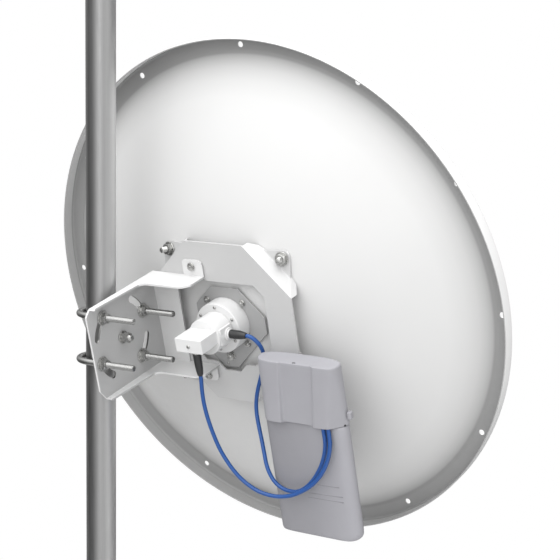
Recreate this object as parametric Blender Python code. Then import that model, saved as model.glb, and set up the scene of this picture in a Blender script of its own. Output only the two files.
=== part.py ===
"""Microwave dish antenna on a steel pole, seen from behind. Metres, +Z up.

The pole stands on the origin. The dish looks along +Y, tilted up. Dish pieces are drawn
in the dish frame (n to the right, v up, b backwards) and then laid into the world.
"""
import math
import bpy
import bmesh
from mathutils import Matrix, Vector

GAP = 0.0003

# where the dish stands
TILT = math.radians(15.6)
DISH_CENTRE = (0.1394, 0.1943, 0.640)

# dish, with the turn of its first rim hole in degrees
RIM_R = 0.3475
LIP_B = 0.019
HOLE_R = 0.335
HOLE_D = 0.006
BOWL_R = 0.3234
BOWL_DEPTH = 0.110
SHEET = 0.0015
RIM_HOLES = 12
FIRST_HOLE = 119.6
PASSAGE_R = 0.0225

# pole, its foot and the clamp
FOOT_HALF = 0.075
FOOT_T = 0.008
FOOT_HOLE_AT = 0.055
FOOT_HOLE_R = 0.006
POLE_R = 0.01926
POLE_TOP = 1.25
PIVOT_Z = 0.5905
LEG_Y = 0.040
LEG_Z = 0.0295
ROD_R = 0.004
LEG_END_X = 0.0873
SADDLE_Z = 0.034
SADDLE_Y = 0.030
CHEEK_Y = 0.0245
SLOT_R = math.hypot(LEG_Y, LEG_Z)
SLOT_DOWN = math.radians(33.0)
SLOT_UP = math.radians(5.5)

# bracket and plates
PLATE_T = 0.0025
A_FACE = 0.120
WEB_N = -0.1063
BR_TOP = 0.0645
BR_BOTTOM = -0.0620
CORNER_BOLT = 0.088
CORNER_END = 0.150
CORNER_R = 0.012

# feed
DRUM_R = 0.034
DRUM_END = 0.135
BODY_R = 0.0237
BODY_END = 0.165
CHAMFER = 0.0005

# radio box and leads
CAP_BOTTOM = -0.1000
LEAD_R = 0.0026

for ob in list(bpy.data.objects):
    bpy.data.objects.remove(ob, do_unlink=True)

st, ct = math.sin(TILT), math.cos(TILT)
# columns: n, v and b axes of the dish in the world
DISH = Matrix(((1, 0, 0, DISH_CENTRE[0]),
               (0, -st, -ct, DISH_CENTRE[1]),
               (0, ct, -st, DISH_CENTRE[2]),
               (0, 0, 0, 1)))


def material(name, colour, metal=0.0, rough=0.5):
    mat = bpy.data.materials.new(name)
    mat.use_nodes = True
    bsdf = mat.node_tree.nodes["Principled BSDF"]
    bsdf.inputs["Base Color"].default_value = (*colour, 1)
    bsdf.inputs["Metallic"].default_value = metal
    bsdf.inputs["Roughness"].default_value = rough
    return mat


def add(name, bm, mat, matrix=None):
    """Make one named object from a bmesh, in the world frame."""
    if matrix is not None:
        bmesh.ops.transform(bm, matrix=matrix, verts=bm.verts)
    bmesh.ops.recalc_face_normals(bm, faces=bm.faces)
    mesh = bpy.data.meshes.new(name)
    bm.to_mesh(mesh)
    bm.free()
    ob = bpy.data.objects.new(name, mesh)
    bpy.context.scene.collection.objects.link(ob)
    mesh.materials.append(material(name + "_mat", *mat))
    return ob


def lathe(profile, steps=72):
    """Closed profile of (radius, height) turned about local z."""
    bm = bmesh.new()
    rings = []
    for r, z in profile:
        if r < 1e-9:
            rings.append([bm.verts.new((0, 0, z))] * steps)
        else:
            rings.append([bm.verts.new((r * math.cos(2 * math.pi * k / steps),
                                        r * math.sin(2 * math.pi * k / steps), z)) for k in range(steps)])
    for i, ring in enumerate(rings):
        nxt = rings[(i + 1) % len(rings)]
        for k in range(steps):
            quad = [ring[k], ring[(k + 1) % steps], nxt[(k + 1) % steps], nxt[k]]
            corner = []
            for v in quad:
                if v not in corner:
                    corner.append(v)
            if len(corner) > 2:
                bm.faces.new(corner)
    return bm


def prism(points, low, high, axis="z"):
    """Extrude a closed outline; axis z: (x, y), axis x: (y, z), axis y: (x, z)."""
    def place(p, h):
        if axis == "z":
            return (p[0], p[1], h)
        if axis == "x":
            return (h, p[0], p[1])
        return (p[0], h, p[1])
    bm = bmesh.new()
    lo = [bm.verts.new(place(p, low)) for p in points]
    hi = [bm.verts.new(place(p, high)) for p in points]
    bm.faces.new(lo)
    bm.faces.new(hi)
    for i in range(len(points)):
        j = (i + 1) % len(points)
        bm.faces.new((lo[i], lo[j], hi[j], hi[i]))
    bmesh.ops.recalc_face_normals(bm, faces=bm.faces)
    return bm


def box(lo, hi):
    return prism([(lo[0], lo[1]), (hi[0], lo[1]), (hi[0], hi[1]), (lo[0], hi[1])], lo[2], hi[2])


def rod(p0, p1, r, steps=24):
    p0, p1 = Vector(p0), Vector(p1)
    bm = lathe([(0, 0), (r, 0), (r, (p1 - p0).length), (0, (p1 - p0).length)], steps)
    turn = (p1 - p0).to_track_quat("Z", "Y").to_matrix().to_4x4()
    bmesh.ops.transform(bm, matrix=Matrix.Translation(p0) @ turn, verts=bm.verts)
    return bm


def cutter(bm, matrix=None):
    if matrix is not None:
        bmesh.ops.transform(bm, matrix=matrix, verts=bm.verts)
    bmesh.ops.recalc_face_normals(bm, faces=bm.faces)
    mesh = bpy.data.meshes.new("tool")
    bm.to_mesh(mesh)
    bm.free()
    ob = bpy.data.objects.new("tool", mesh)
    bpy.context.scene.collection.objects.link(ob)
    return ob


def combine(ob, bm, how, matrix=None):
    """Cut, join or keep the common part, and leave a plain mesh behind."""
    tool = cutter(bm, matrix)
    mod = ob.modifiers.new("b", "BOOLEAN")
    mod.operation = how
    mod.solver = "EXACT"
    mod.object = tool
    deps = bpy.context.evaluated_depsgraph_get()
    mesh = bpy.data.meshes.new_from_object(ob.evaluated_get(deps))
    ob.modifiers.clear()
    old = ob.data
    ob.data = mesh
    bpy.data.meshes.remove(old)
    bpy.data.objects.remove(tool, do_unlink=True)
    return ob


def cord(name, points, radius, mat):
    curve = bpy.data.curves.new(name, "CURVE")
    curve.dimensions = "3D"
    curve.bevel_depth = radius
    curve.bevel_resolution = 3
    curve.use_fill_caps = True
    spline = curve.splines.new("POLY")
    spline.points.add(len(points) - 1)
    for pt, co in zip(spline.points, points):
        pt.co = (*co, 1)
    ob = bpy.data.objects.new(name, curve)
    bpy.context.scene.collection.objects.link(ob)
    curve.materials.append(material(name + "_mat", *mat))
    return ob


def smooth(knots, count):
    """Evenly spaced points on a smooth curve through the knots."""
    pts = [Vector(k) for k in knots]
    ext = [pts[0] * 2 - pts[1]] + pts + [pts[-1] * 2 - pts[-2]]
    dense = []
    for i in range(1, len(ext) - 2):
        a, b, c, d = ext[i - 1:i + 3]
        for k in range(24):
            t = k / 24
            dense.append(0.5 * ((2 * b) + (c - a) * t + (2 * a - 5 * b + 4 * c - d) * t * t
                                + (3 * b - a - 3 * c + d) * t ** 3))
    dense.append(pts[-1])
    run = [0.0]
    for p, q in zip(dense, dense[1:]):
        run.append(run[-1] + (q - p).length)
    out = []
    j = 0
    for k in range(count):
        want = run[-1] * k / (count - 1)
        while j < len(run) - 2 and run[j + 1] < want:
            j += 1
        f = (want - run[j]) / max(run[j + 1] - run[j], 1e-9)
        out.append(dense[j].lerp(dense[j + 1], min(max(f, 0), 1)))
    return out


STEEL = ((0.42, 0.42, 0.43), 1.0, 0.35)
ZINC = ((0.55, 0.55, 0.54), 1.0, 0.30)
WHITE = ((0.80, 0.80, 0.80), 0.0, 0.45)
PALE = ((0.62, 0.62, 0.62), 0.0, 0.45)
GREY = ((0.40, 0.40, 0.43), 0.0, 0.55)
BLACK = ((0.02, 0.02, 0.02), 0.0, 0.5)
BLUE = ((0.02, 0.10, 0.45), 0.0, 0.4)

# pole and foot
pole = lathe([(0, FOOT_T + GAP), (POLE_R, FOOT_T + GAP), (POLE_R, POLE_TOP - 0.001),
              (POLE_R - 0.001, POLE_TOP), (0, POLE_TOP)], 64)
add("pole", pole, STEEL)
foot = add("foot_plate", box((-FOOT_HALF, -FOOT_HALF, 0), (FOOT_HALF, FOOT_HALF, FOOT_T)), STEEL)
for sx in (-1, 1):
    for sy in (-1, 1):
        x, y = sx * FOOT_HOLE_AT, sy * FOOT_HOLE_AT
        combine(foot, rod((x, y, -0.01), (x, y, 0.02), FOOT_HOLE_R), "DIFFERENCE")

# saddle that fills the room between the pole and the bracket
web_x = DISH_CENTRE[0] + WEB_N
saddle = add("pole_saddle", box((-0.002, -SADDLE_Y, PIVOT_Z - SADDLE_Z),
                                (web_x - GAP, SADDLE_Y, PIVOT_Z + SADDLE_Z)), ZINC)
combine(saddle, rod((0, 0, PIVOT_Z - 0.1), (0, 0, PIVOT_Z + 0.1), POLE_R + GAP, 64), "DIFFERENCE")
for sy in (-1, 1):
    near, far = sorted((sy * CHEEK_Y, sy * 0.04))
    combine(saddle, box((-0.01, near, PIVOT_Z - 0.1), (0.0145, far, PIVOT_Z + 0.1)), "DIFFERENCE")
combine(saddle, box((-0.01, -0.04, PIVOT_Z - 0.1), (0.0035, 0.04, PIVOT_Z + 0.1)), "DIFFERENCE")
combine(saddle, rod((-0.01, 0, PIVOT_Z), (0.06, 0, PIVOT_Z), ROD_R + GAP), "DIFFERENCE")


def u_bolt(name, z):
    """Round bar: leg, half turn around the pole, leg."""
    centre_x = -(POLE_R + GAP + ROD_R) + LEG_Y
    path = [(LEG_END_X, -LEG_Y)]
    path += [(centre_x - LEG_Y * math.sin(math.pi * k / 24), -LEG_Y * math.cos(math.pi * k / 24))
             for k in range(25)]
    path += [(LEG_END_X, LEG_Y)]
    bm = bmesh.new()
    steps, rings = 20, []
    for i, (x, y) in enumerate(path):
        ax, ay = path[max(i - 1, 0)]
        bx, by = path[min(i + 1, len(path) - 1)]
        if i in (0, 1):
            ax, ay, bx, by = 1, 0, 0, 0
        if i in (len(path) - 2, len(path) - 1):
            ax, ay, bx, by = 0, 0, 1, 0
        d = Vector((bx - ax, by - ay, 0)).normalized()
        side = Vector((-d.y, d.x, 0))
        rings.append([bm.verts.new(Vector((x, y, z)) + ROD_R * (math.cos(2 * math.pi * k / steps) * side
                      + math.sin(2 * math.pi * k / steps) * Vector((0, 0, 1)))) for k in range(steps)])
    for ra, rb in zip(rings, rings[1:]):
        for k in range(steps):
            bm.faces.new((ra[k], ra[(k + 1) % steps], rb[(k + 1) % steps], rb[k]))
    bm.faces.new(rings[0])
    bm.faces.new(rings[-1])
    return add(name, bm, ZINC)


u_bolt("u_bolt_upper", PIVOT_Z + LEG_Z)
u_bolt("u_bolt_lower", PIVOT_Z - LEG_Z)


def nut_on_leg(name, y, z, x0, washer_r=0.0085, washer_t=0.0018, nut_r=0.0072, nut_t=0.0065, bore=ROD_R):
    """Washer and hexagon nut as one turned piece with a bore."""
    place = Matrix.Translation((x0, y, z)) @ Matrix.Rotation(math.pi / 2, 4, "Y")
    ring = [(bore + GAP, 0), (washer_r, 0), (washer_r, washer_t), (bore + GAP, washer_t)]
    ob = add(name, lathe(ring, 32), ZINC, place)
    hexa = prism([(nut_r * math.cos(math.pi * k / 3 + 0.3), nut_r * math.sin(math.pi * k / 3 + 0.3))
                  for k in range(6)], washer_t - 0.0002, washer_t + nut_t)
    combine(ob, hexa, "UNION", place)
    combine(ob, rod((0, 0, -0.01), (0, 0, 0.03), bore + GAP, 32), "DIFFERENCE", place)
    return ob


face_x = web_x + PLATE_T + GAP
for tag, sy, sz in (("ul", -1, 1), ("ur", 1, 1), ("ll", -1, -1), ("lr", 1, -1)):
    nut_on_leg("clamp_nut_" + tag, sy * LEG_Y, PIVOT_Z + sz * LEG_Z, face_x)
add("pivot_bolt", rod((0.0195 + GAP, 0, PIVOT_Z), (0.0515, 0, PIVOT_Z), ROD_R), ZINC)
nut_on_leg("pivot_nut", 0, PIVOT_Z, face_x, washer_t=0.0050)

# dish: one turned sheet, holes in the rim
prof = []
for k in range(17):
    r = BOWL_R * k / 16
    prof.append((r, BOWL_DEPTH * (1 - (r / BOWL_R) ** 2)))
back = prof[:-2]
# concave fillet from the bowl into the flange
r0, b0 = prof[-3]
for k in range(1, 7):
    t = k / 6
    a = Vector((r0, b0))
    m = Vector((BOWL_R - 0.001, 0.0))
    e = Vector((BOWL_R + 0.006, 0.0))
    p = a * (1 - t) ** 2 + m * 2 * t * (1 - t) + e * t * t
    back.append((p.x, p.y))
back += [(RIM_R - SHEET - 0.002, 0.0), (RIM_R - SHEET - 0.0005, 0.0006), (RIM_R - SHEET, 0.0022),
         (RIM_R - SHEET, LIP_B), (RIM_R, LIP_B)]
front = [(RIM_R, 0.0010), (RIM_R - 0.0006, -0.0008), (RIM_R - 0.0025, -SHEET)]
inner = []
for i in range(len(back) - 6, -1, -1):
    r, b = back[i]
    if i == 0:
        inner.append((0.0, b - SHEET))
        continue
    ra, ba = back[i - 1]
    rb, bb = back[i + 1]
    d = Vector((rb - ra, bb - ba)).normalized()
    inner.append((r + d.y * SHEET, b - d.x * SHEET))
dish = add("dish", lathe(back + front + inner, 72), WHITE)
for k in range(RIM_HOLES):
    a = math.radians(FIRST_HOLE - 360 / RIM_HOLES * k)
    n, v = HOLE_R * math.cos(a), HOLE_R * math.sin(a)
    combine(dish, rod((n, v, -0.01), (n, v, 0.01), HOLE_D / 2, 12), "DIFFERENCE")
# feed passage at the vertex
combine(dish, rod((0, 0, 0.09), (0, 0, 0.13), PASSAGE_R, 48), "DIFFERENCE")
dish.data.transform(DISH)

# raised plate with four bent-down corners: each folds down along the plate's cut corner and ends in a tab
half_n, half_v = 0.1093, 0.1105
u_tab = 0.1245
tab_b = BOWL_DEPTH * (1 - (u_tab / BOWL_R) ** 2) + 0.0006
slope = 2 * BOWL_DEPTH * u_tab / BOWL_R ** 2
outline = [(-0.0454, half_v), (0.0454, half_v), (half_n, 0.0462), (half_n, -0.0285), (0.0300, -0.1080),
           (-0.0300, -0.1080), (-half_n, -0.0285), (-half_n, 0.0462)]
raised = add("raised_plate", prism(outline, A_FACE - PLATE_T, A_FACE), PALE)
for sn, sv, c, fold in ((1, 1, 0.1100, 0.0453), (-1, 1, 0.1100, 0.0453),
                        (1, -1, 0.0975, 0.0561), (-1, -1, 0.0975, 0.0561)):
    foot_u = max(c + 0.005, 0.108)
    t = PLATE_T
    foot_b = tab_b + t - slope * (foot_u - u_tab)
    end_b = tab_b + t - slope * (CORNER_END - u_tab)
    side = [(c - 0.003, A_FACE), (c, A_FACE), (foot_u, foot_b), (CORNER_END, end_b), (CORNER_END, end_b - t),
            (foot_u - t, foot_b - t), (c - t, A_FACE - t), (c - 0.003, A_FACE - t)]
    corner = prism(side, -0.07, 0.07, "y")
    turn = Matrix.Rotation(math.atan2(sv, sn), 4, "Z")
    tool = cutter(corner, turn)
    foot = fold - math.hypot(foot_u - c, A_FACE - foot_b)
    tip = foot_u + foot
    r = CORNER_R
    sheet = [(c - 0.004, -fold), (c, -fold), (foot_u, -foot)]
    for k in range(7):
        a = math.radians(-45 + 15 * k)
        sheet.append((tip - r * math.sqrt(2) + r * math.cos(a), r * math.sin(a)))
    sheet += [(foot_u, foot), (c, fold), (c - 0.004, fold)]
    keep = prism(sheet, 0.05, 0.15)
    bmesh.ops.transform(keep, verts=keep.verts, matrix=turn)
    combine(tool, keep, "INTERSECT")
    bm = bmesh.new()
    bm.from_mesh(tool.data)
    bpy.data.objects.remove(tool, do_unlink=True)
    combine(raised, bm, "UNION")
opening = [(-0.0544, 0.058), (0.0544, 0.058), (0.0689, 0.0436), (0.0685, -0.0249), (0.0395, -0.0545),
           (0.0245, -0.0550), (0.0143, -0.0655), (-0.0107, -0.0655), (-0.0228, -0.0548), (-0.0395, -0.0548),
           (-0.0685, -0.0249), (-0.0689, 0.0436)]
combine(raised, prism(opening, 0.10, 0.14), "DIFFERENCE")
raised.data.transform(DISH)


def plate_bolt(name, n, v, b, lean=0.0, nut_r=0.0078, nut_t=0.0062, stud=0.0125, stud_r=0.0038):
    """Nut with the end of its bolt standing on a plate of the dish."""
    washer, hexa = nut_r * 1.18, nut_r * 0.93
    bm = lathe([(0, 0), (washer, 0), (washer, 0.0015), (hexa, 0.0015), (hexa, nut_t), (stud_r, nut_t),
                (stud_r, stud), (0, stud)], 24)
    tilt = Matrix.Rotation(lean, 4, Vector((-v, n, 0)).normalized()) if lean else Matrix()
    return add(name, bm, ZINC, DISH @ Matrix.Translation((n, v, b)) @ tilt)


lean = math.atan(slope)
for tag, sn, sv in (("tl", -1, 1), ("tr", 1, 1), ("bl", -1, -1), ("br", 1, -1)):
    stands_on = tab_b + PLATE_T * math.cos(lean) + 0.0008
    plate_bolt("plate_bolt_" + tag, sn * CORNER_BOLT, sv * CORNER_BOLT, stands_on, lean,
               stud=0.0145 if tag == "tl" else 0.0125)

# feed plate on the vertex
feed_outline = [(-0.0464, 0.0214), (-0.0200, 0.0470), (0.0228, 0.0475), (0.0588, 0.0115), (0.0590, -0.0105),
                (0.0050, -0.0648), (-0.0163, -0.0645), (-0.0470, -0.0340)]
feed_plate = add("feed_plate", prism(feed_outline, BOWL_DEPTH + GAP, BOWL_DEPTH + PLATE_T), PALE)
combine(feed_plate, rod((0, 0, 0.09), (0, 0, 0.13), PASSAGE_R, 48), "DIFFERENCE")
feed_plate.data.transform(DISH)
B_FACE = BOWL_DEPTH + PLATE_T + GAP
for tag, n, v in (("a", -0.0275, 0.0288), ("b", 0.0275, 0.0288), ("c", 0.0275, -0.0275)):
    plate_bolt("feed_bolt_" + tag, n, v, B_FACE, 0.0, 0.0038, 0.0033, 0.0046, 0.0020)
plate_bolt("feed_bolt_d", -0.0029, -0.0479, B_FACE, 0.0, 0.0056, 0.0042, 0.0062, 0.0028)

# feed: drum, round body and square block
add("feed_drum", lathe([(0, B_FACE), (DRUM_R, B_FACE), (DRUM_R, DRUM_END - CHAMFER),
                        (DRUM_R - CHAMFER, DRUM_END), (0, DRUM_END)], 64), WHITE, DISH)
body = add("feed_body", lathe([(0, DRUM_END + GAP), (BODY_R, DRUM_END + GAP), (BODY_R, BODY_END - CHAMFER),
                               (BODY_R - CHAMFER, BODY_END), (0, BODY_END)], 64), WHITE)
combine(body, box((-0.0203, -0.0068, 0.160), (0.0203, 0.0117, 0.199)), "UNION")
combine(body, box((0.010, -0.011, 0.1375), (0.0235, 0.011, 0.1610)), "UNION")
body.data.transform(DISH)
# horn tube and small reflector on the hidden side
add("feed_tube", lathe([(0, B_FACE - GAP * 2), (0.022, B_FACE - GAP * 2), (0.022, -0.060), (0.038, -0.085),
                        (0.038, -0.095), (0, -0.095)], 48), WHITE, DISH)
to_side = Matrix.Rotation(math.pi / 2, 4, "Y")
side_at = DISH @ Matrix.Translation((0.0235 + GAP, 0, 0.1455)) @ to_side
add("side_connector", lathe([(0, 0), (0.0085, 0), (0.0085, 0.002), (0.0055, 0.002), (0.0055, 0.0200),
                             (0.0040, 0.0265), (0.0030, 0.0275), (0, 0.0275)], 32), BLACK, side_at)
down_at = DISH @ Matrix.Translation((0, -0.0068 - GAP, 0.185)) @ Matrix.Rotation(math.pi / 2, 4, "X")
add("bottom_connector", lathe([(0, 0), (0.0068, 0), (0.0068, 0.008), (0.0056, 0.0085), (0.0050, 0.030),
                               (0.0032, 0.0365), (0, 0.0365)], 32), BLACK, down_at)

# bracket: clamp web, back plate, two flanges and two tabs, drawn in the dish frame
b0, t = A_FACE + GAP, PLATE_T


def arc_slot(a0, a1, r, w, steps=14):
    """Outline of a slot that follows an arc round the pivot."""
    def ring(radius, angle):
        return Vector((radius * math.cos(angle), radius * math.sin(angle)))
    pts = [ring(r + w, a0 + (a1 - a0) * k / steps) for k in range(steps + 1)]
    pts += [ring(r, a1) + ring(w, a1 + math.pi * k / 8) for k in range(1, 8)]
    pts += [ring(r - w, a1 - (a1 - a0) * k / steps) for k in range(steps + 1)]
    pts += [ring(r, a0) + ring(w, a0 + math.pi + math.pi * k / 8) for k in range(1, 8)]
    return pts


flange = [(WEB_N, b0), (-0.0190, b0), (-0.0190, 0.1505), (-0.0291, 0.1615), (-0.0904, 0.1615),
          (-0.0955, 0.2490), (WEB_N, 0.2490)]
bracket = add("bracket", prism([(-0.0463, 0.2594), (0.0549, 0.2594), (BR_TOP, 0.2490), (BR_TOP, b0),
                                (BR_BOTTOM, b0), (BR_BOTTOM, 0.2490)], WEB_N, WEB_N + t, "x"), WHITE)
combine(bracket, box((WEB_N, BR_BOTTOM, b0), (-0.0645, BR_TOP, b0 + t)), "UNION")
for lo, hi in ((BR_TOP - t, BR_TOP), (BR_BOTTOM, BR_BOTTOM + t)):
    combine(bracket, prism(flange, lo, hi, "y"), "UNION")
top_tab = [(-0.0190, BR_TOP - t), (-0.0190, 0.0790), (-0.0211, 0.0839), (-0.0260, 0.0860), (-0.0456, 0.0860),
           (-0.0491, 0.0845), (-0.0506, 0.0810), (-0.0506, BR_TOP - t)]
low_tab = [(-0.0215, BR_BOTTOM + t), (-0.0506, BR_BOTTOM + t), (-0.0506, -0.0775), (-0.0491, -0.0810),
           (-0.0456, -0.0825), (-0.0285, -0.0825), (-0.0236, -0.0804), (-0.0215, -0.0755)]
combine(bracket, prism(top_tab, b0, b0 + t), "UNION")
combine(bracket, prism(low_tab, b0, b0 + t), "UNION")
to_dish = DISH.inverted()
for sy, sz in ((-1, 1), (1, 1), (-1, -1), (1, -1)):
    a = math.atan2(sz * LEG_Z, sy * LEG_Y)
    pts = [(p.x, PIVOT_Z + p.y) for p in arc_slot(a - SLOT_UP, a + SLOT_DOWN, SLOT_R, ROD_R + 0.0008)]
    combine(bracket, prism(pts, web_x - 0.01, web_x + 0.01, "x"), "DIFFERENCE", to_dish)
pivot_hole = rod((web_x - 0.01, 0, PIVOT_Z), (web_x + 0.01, 0, PIVOT_Z), ROD_R + GAP)
combine(bracket, pivot_hole, "DIFFERENCE", to_dish)
bracket.data.transform(DISH)
for tag, v in (("top", 0.0768), ("bottom", -0.0756)):
    plate_bolt("tab_screw_" + tag, -0.0365, v, b0 + t + GAP, 0.0, 0.0048, 0.0032, 0.0040, 0.0022)

# radio box: body, cap with a raised block where the leads go in, side knob, carrier
cap_front = [(0.0752, 0.1612), (0.0800, 0.1655), (0.0880, 0.1678), (0.1010, 0.1682), (0.1400, 0.1685),
             (0.1470, 0.1735), (0.1740, 0.1735), (0.1850, 0.1700), (0.1905, 0.1640)]
cap_rear = [(0.1925, 0.1544), (0.1886, 0.1455), (0.1790, 0.1406), (0.1456, 0.1395), (0.0999, 0.1400),
            (0.0780, 0.1430), (0.0722, 0.1480), (0.0712, 0.1540)]
add("radio_cap", prism(cap_front + cap_rear, CAP_BOTTOM, -0.0180, "y"), GREY, DISH)
body_outline = [(0.0735, 0.1590), (0.0770, 0.1630), (0.0850, 0.1650), (0.1300, 0.1655), (0.1750, 0.1655),
                (0.1860, 0.1635), (0.1905, 0.1580), (0.1915, 0.1520), (0.1880, 0.1445), (0.1780, 0.1415),
                (0.0860, 0.1415), (0.0750, 0.1440), (0.0715, 0.1500)]
radio = add("radio_body", prism(body_outline, -0.2640, CAP_BOTTOM - GAP, "y"), GREY)
foot_curve = [(0.0700, CAP_BOTTOM), (0.0700, -0.2560), (0.0724, -0.2590), (0.0765, -0.2606), (0.1200, -0.2618),
              (0.1600, -0.2622), (0.1800, -0.2612), (0.1878, -0.2575), (0.1925, -0.2500), (0.1925, CAP_BOTTOM)]
combine(radio, prism(foot_curve, 0.13, 0.18), "INTERSECT")
radio.data.transform(DISH)
add("radio_knob", rod((0.1926, -0.0865, 0.1520), (0.1982, -0.0865, 0.1520), 0.0045), GREY, DISH)
add("radio_mount", box((0.0800, -0.0760, A_FACE + GAP), (0.1060, -0.0340, 0.1395 - GAP)), GREY, DISH)


def at(n, v, b):
    return DISH @ Vector((n, v, b))


BOTTOM_ROUTE = (
    (0.0000, -0.0439, 0.1850), (0.0000, -0.0475, 0.1850), (-0.0003, -0.0657, 0.1868), (0.0009, -0.0831, 0.1885),
    (0.0045, -0.1030, 0.1900),
    (0.0103, -0.1243, 0.1910), (0.0168, -0.1423, 0.1915), (0.0255, -0.1588, 0.1915), (0.0358, -0.1735, 0.1910),
    (0.0485, -0.1858, 0.1900), (0.0644, -0.1953, 0.1885), (0.0812, -0.1993, 0.1870), (0.0970, -0.1991, 0.1855),
    (0.1134, -0.1950, 0.1840), (0.1294, -0.1870, 0.1825), (0.1441, -0.1766, 0.1808), (0.1570, -0.1628, 0.1785),
    (0.1658, -0.1479, 0.1757), (0.1707, -0.1339, 0.1732), (0.1729, -0.1201, 0.1712), (0.1724, -0.1099, 0.1698),
    (0.1717, -0.1004, 0.1689))
SIDE_ROUTE = (
    (0.0517, 0.0000, 0.1455), (0.0545, 0.0000, 0.1455), (0.0590, -0.0018, 0.1450), (0.0637, -0.0062, 0.1438),
    (0.0672, -0.0123, 0.1420),
    (0.0680, -0.0205, 0.1390), (0.0655, -0.0313, 0.1350), (0.0613, -0.0426, 0.1325), (0.0564, -0.0551, 0.1315),
    (0.0522, -0.0666, 0.1322), (0.0485, -0.0777, 0.1342), (0.0458, -0.0897, 0.1368), (0.0449, -0.1026, 0.1398),
    (0.0465, -0.1150, 0.1432), (0.0505, -0.1280, 0.1478), (0.0559, -0.1416, 0.1535), (0.0612, -0.1550, 0.1595),
    (0.0660, -0.1672, 0.1650), (0.0721, -0.1782, 0.1692), (0.0804, -0.1884, 0.1716), (0.0915, -0.1950, 0.1726),
    (0.1037, -0.1969, 0.1730), (0.1154, -0.1949, 0.1730), (0.1268, -0.1883, 0.1728), (0.1377, -0.1782, 0.1722),
    (0.1474, -0.1657, 0.1715), (0.1558, -0.1514, 0.1708), (0.1617, -0.1362, 0.1700), (0.1646, -0.1223, 0.1694),
    (0.1647, -0.1115, 0.1690), (0.1642, -0.1004, 0.1688))
cord("bottom_lead", smooth([at(*p) for p in BOTTOM_ROUTE], 64), LEAD_R, BLUE)
cord("side_lead", smooth([at(*p) for p in SIDE_ROUTE], 72), LEAD_R, BLUE)
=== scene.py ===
"""Microwave dish antenna on a steel pole, dressed for the look of the photograph.

Metres, +Z up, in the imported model's frame. Dish pieces are drawn in the dish frame
(n to the right, v up, b backwards) and laid into the world by DISH.
"""
import math
import random
import bpy
import bmesh
from mathutils import Matrix, Vector


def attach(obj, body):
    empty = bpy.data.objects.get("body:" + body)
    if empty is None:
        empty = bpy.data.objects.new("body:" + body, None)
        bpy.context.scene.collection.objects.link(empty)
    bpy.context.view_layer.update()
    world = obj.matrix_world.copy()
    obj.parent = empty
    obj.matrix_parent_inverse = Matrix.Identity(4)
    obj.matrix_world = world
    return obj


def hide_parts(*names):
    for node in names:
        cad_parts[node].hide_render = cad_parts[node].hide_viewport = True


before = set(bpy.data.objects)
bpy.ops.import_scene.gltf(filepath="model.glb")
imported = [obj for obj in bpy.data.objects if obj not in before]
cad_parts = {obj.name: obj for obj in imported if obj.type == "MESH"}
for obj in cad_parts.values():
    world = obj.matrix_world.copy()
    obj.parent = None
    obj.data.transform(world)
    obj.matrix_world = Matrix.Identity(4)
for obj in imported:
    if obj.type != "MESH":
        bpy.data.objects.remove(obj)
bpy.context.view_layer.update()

# the same driving values as the part's source: the tilt and centre of the dish, then its rim
GAP = 0.0003
TILT = math.radians(15.6)
DISH_CENTRE = (0.1394, 0.1943, 0.640)
RIM_R, LIP_B, HOLE_R = 0.3475, 0.019, 0.335
BOWL_R, BOWL_DEPTH, SHEET = 0.3234, 0.110, 0.0015
# pole, and the clamp's legs about its pivot
POLE_R, POLE_TOP, PIVOT_Z = 0.01926, 1.25, 0.5905
LEG_Y, LEG_Z, ROD_R, LEG_END_X = 0.040, 0.0295, 0.004, 0.0873
SLOT_R = math.hypot(LEG_Y, LEG_Z)
# plates: their thickness, the back of the raised plate and of the feed plate, and the bracket's edges
PLATE_T, A_FACE = 0.0025, 0.120
B_FACE = BOWL_DEPTH + PLATE_T + GAP
WEB_N, BR_TOP, BR_BOTTOM = -0.1063, 0.0645, -0.0620
WEB_X = DISH_CENTRE[0] + WEB_N
LEAD_R = 0.0026

st, ct = math.sin(TILT), math.cos(TILT)
DISH = Matrix(((1, 0, 0, DISH_CENTRE[0]), (0, -st, -ct, DISH_CENTRE[1]),
               (0, ct, -st, DISH_CENTRE[2]), (0, 0, 0, 1)))


def at(n, v, b):
    return DISH @ Vector((n, v, b))


# camera
AZIMUTH, ELEVATION, ROLL = math.radians(33.92), math.radians(7.62), 0.0132
CAMERA_PLACE = (1.3739, -1.6313, 0.9474)
LENS, SENSOR = 107.16, 36
ca, sa, ce, se = math.cos(AZIMUTH), math.sin(AZIMUTH), math.cos(ELEVATION), math.sin(ELEVATION)
fwd = Vector((-sa * ce, ca * ce, -se))
right = Vector((ca, sa, 0))
down = fwd.cross(right)
image_x = right * math.cos(ROLL) - down * math.sin(ROLL)
image_y = right * math.sin(ROLL) + down * math.cos(ROLL)
cam_data = bpy.data.cameras.new("camera")
cam = bpy.data.objects.new("camera", cam_data)
bpy.context.scene.collection.objects.link(cam)
cam.matrix_world = Matrix.Translation(CAMERA_PLACE) @ Matrix((image_x, -image_y, -fwd)).transposed().to_4x4()
cam_data.lens = LENS
cam_data.sensor_width = SENSOR
cam_data.clip_end = 50
bpy.context.scene.camera = cam


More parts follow.
